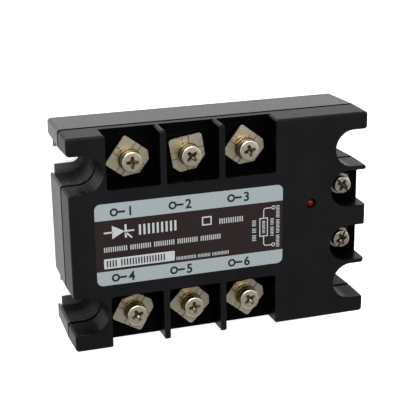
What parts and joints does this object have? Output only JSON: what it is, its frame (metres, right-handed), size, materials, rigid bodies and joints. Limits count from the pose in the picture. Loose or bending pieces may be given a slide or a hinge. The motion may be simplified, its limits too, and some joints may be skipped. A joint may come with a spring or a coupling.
{
  "type": "solid state relay",
  "caption": "Panel-mount solid state relay in a black two-part case on a metal base plate, with screw terminals in open pockets, notched mounting corners and a status lamp",
  "frame": {"origin": "centre of the underside of the base plate", "axes": "+X runs along the length towards the control terminals, +Y towards the line terminals, +Z out of the labelled face"},
  "size_m": [0.105, 0.074, 0.031],
  "materials": {
    "black_plastic": "fine moulded satin texture",
    "aluminium": "milled face, bright sawn edges",
    "label": "printed polyester film",
    "red_lens": "red diffused epoxy",
    "nickel_plate": "warm nickel plating, satin",
    "spring_steel": "yellow passivated spring steel",
    "tinned_copper": "tin plate",
    "alumina": "fired alumina",
    "thyristor": "moulded power package",
    "black_epoxy": "cast epoxy",
    "board": "glass epoxy with solder mask",
    "capacitor": "box capacitor case"
  },
  "bodies": {
    "root": {"base_plate": "aluminium", "lower_housing": "black_plastic", "top_cover": "black_plastic", "label": "label", "status_led": "red_lens", "potting_resin": "black_epoxy", "circuit_board": "board", "ceramic_insulator_1": "alumina", "thyristor_pair_1": "thyristor", "opto_coupler_1": "black_epoxy", "snubber_capacitor_1": "capacitor", "ceramic_insulator_2": "alumina", "thyristor_pair_2": "thyristor", "opto_coupler_2": "black_epoxy", "snubber_capacitor_2": "capacitor", "ceramic_insulator_3": "alumina", "thyristor_pair_3": "thyristor", "opto_coupler_3": "black_epoxy", "snubber_capacitor_3": "capacitor", "load_busbar_1": "tinned_copper", "load_busbar_2": "tinned_copper", "load_busbar_3": "tinned_copper", "load_busbar_4": "tinned_copper", "load_busbar_5": "tinned_copper", "load_busbar_6": "tinned_copper", "control_pin_1": "tinned_copper", "control_pin_2": "tinned_copper"},
    "load_washers_1": {"clamp_washer_1": "nickel_plate", "spring_washer_1": "spring_steel"},
    "load_screw_1": {"load_screw_1": "nickel_plate"},
    "load_washers_2": {"clamp_washer_2": "nickel_plate", "spring_washer_2": "spring_steel"},
    "load_screw_2": {"load_screw_2": "nickel_plate"},
    "load_washers_3": {"clamp_washer_3": "nickel_plate", "spring_washer_3": "spring_steel"},
    "load_screw_3": {"load_screw_3": "nickel_plate"},
    "load_washers_4": {"clamp_washer_4": "nickel_plate", "spring_washer_4": "spring_steel"},
    "load_screw_4": {"load_screw_4": "nickel_plate"},
    "load_washers_5": {"clamp_washer_5": "nickel_plate", "spring_washer_5": "spring_steel"},
    "load_screw_5": {"load_screw_5": "nickel_plate"},
    "load_washers_6": {"clamp_washer_6": "nickel_plate", "spring_washer_6": "spring_steel"},
    "load_screw_6": {"load_screw_6": "nickel_plate"},
    "control_washers_1": {"control_washer_1": "nickel_plate"},
    "control_screw_1": {"control_screw_1": "nickel_plate"},
    "control_washers_2": {"control_washer_2": "nickel_plate"},
    "control_screw_2": {"control_screw_2": "nickel_plate"}
  },
  "joints": [
    {"name": "load_lift_1", "type": "slide", "parent": "root", "child": "load_washers_1", "axis": [0, 0, 1], "range_m": [0, 0.0028]},
    {"name": "load_spin_1", "type": "hinge", "parent": "load_washers_1", "child": "load_screw_1", "pos_m": [-0.0305, 0.0267, 0.026], "axis": [0, 0, 1], "range_deg": [0, 1440]},
    {"name": "load_lift_2", "type": "slide", "parent": "root", "child": "load_washers_2", "axis": [0, 0, 1], "range_m": [0, 0.0028]},
    {"name": "load_spin_2", "type": "hinge", "parent": "load_washers_2", "child": "load_screw_2", "pos_m": [-0.0104, 0.0267, 0.026], "axis": [0, 0, 1], "range_deg": [0, 1440]},
    {"name": "load_lift_3", "type": "slide", "parent": "root", "child": "load_washers_3", "axis": [0, 0, 1], "range_m": [0, 0.0028]},
    {"name": "load_spin_3", "type": "hinge", "parent": "load_washers_3", "child": "load_screw_3", "pos_m": [0.0097, 0.0267, 0.026], "axis": [0, 0, 1], "range_deg": [0, 1440]},
    {"name": "load_lift_4", "type": "slide", "parent": "root", "child": "load_washers_4", "axis": [0, 0, 1], "range_m": [0, 0.0028]},
    {"name": "load_spin_4", "type": "hinge", "parent": "load_washers_4", "child": "load_screw_4", "pos_m": [-0.0305, -0.0267, 0.026], "axis": [0, 0, 1], "range_deg": [0, 1440]},
    {"name": "load_lift_5", "type": "slide", "parent": "root", "child": "load_washers_5", "axis": [0, 0, 1], "range_m": [0, 0.0028]},
    {"name": "load_spin_5", "type": "hinge", "parent": "load_washers_5", "child": "load_screw_5", "pos_m": [-0.0104, -0.0267, 0.026], "axis": [0, 0, 1], "range_deg": [0, 1440]},
    {"name": "load_lift_6", "type": "slide", "parent": "root", "child": "load_washers_6", "axis": [0, 0, 1], "range_m": [0, 0.0028]},
    {"name": "load_spin_6", "type": "hinge", "parent": "load_washers_6", "child": "load_screw_6", "pos_m": [0.0097, -0.0267, 0.026], "axis": [0, 0, 1], "range_deg": [0, 1440]},
    {"name": "control_lift_1", "type": "slide", "parent": "root", "child": "control_washers_1", "axis": [0, 0, 1], "range_m": [0, 0.0018]},
    {"name": "control_spin_1", "type": "hinge", "parent": "control_washers_1", "child": "control_screw_1", "pos_m": [0.0453, 0.01, 0.0245], "axis": [0, 0, 1], "range_deg": [0, 1080]},
    {"name": "control_lift_2", "type": "slide", "parent": "root", "child": "control_washers_2", "axis": [0, 0, 1], "range_m": [0, 0.0018]},
    {"name": "control_spin_2", "type": "hinge", "parent": "control_washers_2", "child": "control_screw_2", "pos_m": [0.0453, -0.01, 0.0245], "axis": [0, 0, 1], "range_deg": [0, 1080]}
  ],
  "couplings": [
    {"joint": "load_spin_1", "follows": "load_lift_1", "rad_per_m": 8976},
    {"joint": "load_spin_2", "follows": "load_lift_2", "rad_per_m": 8976},
    {"joint": "load_spin_3", "follows": "load_lift_3", "rad_per_m": 8976},
    {"joint": "load_spin_4", "follows": "load_lift_4", "rad_per_m": 8976},
    {"joint": "load_spin_5", "follows": "load_lift_5", "rad_per_m": 8976},
    {"joint": "load_spin_6", "follows": "load_lift_6", "rad_per_m": 8976},
    {"joint": "control_spin_1", "follows": "control_lift_1", "rad_per_m": 10472},
    {"joint": "control_spin_2", "follows": "control_lift_2", "rad_per_m": 10472}
  ]
}
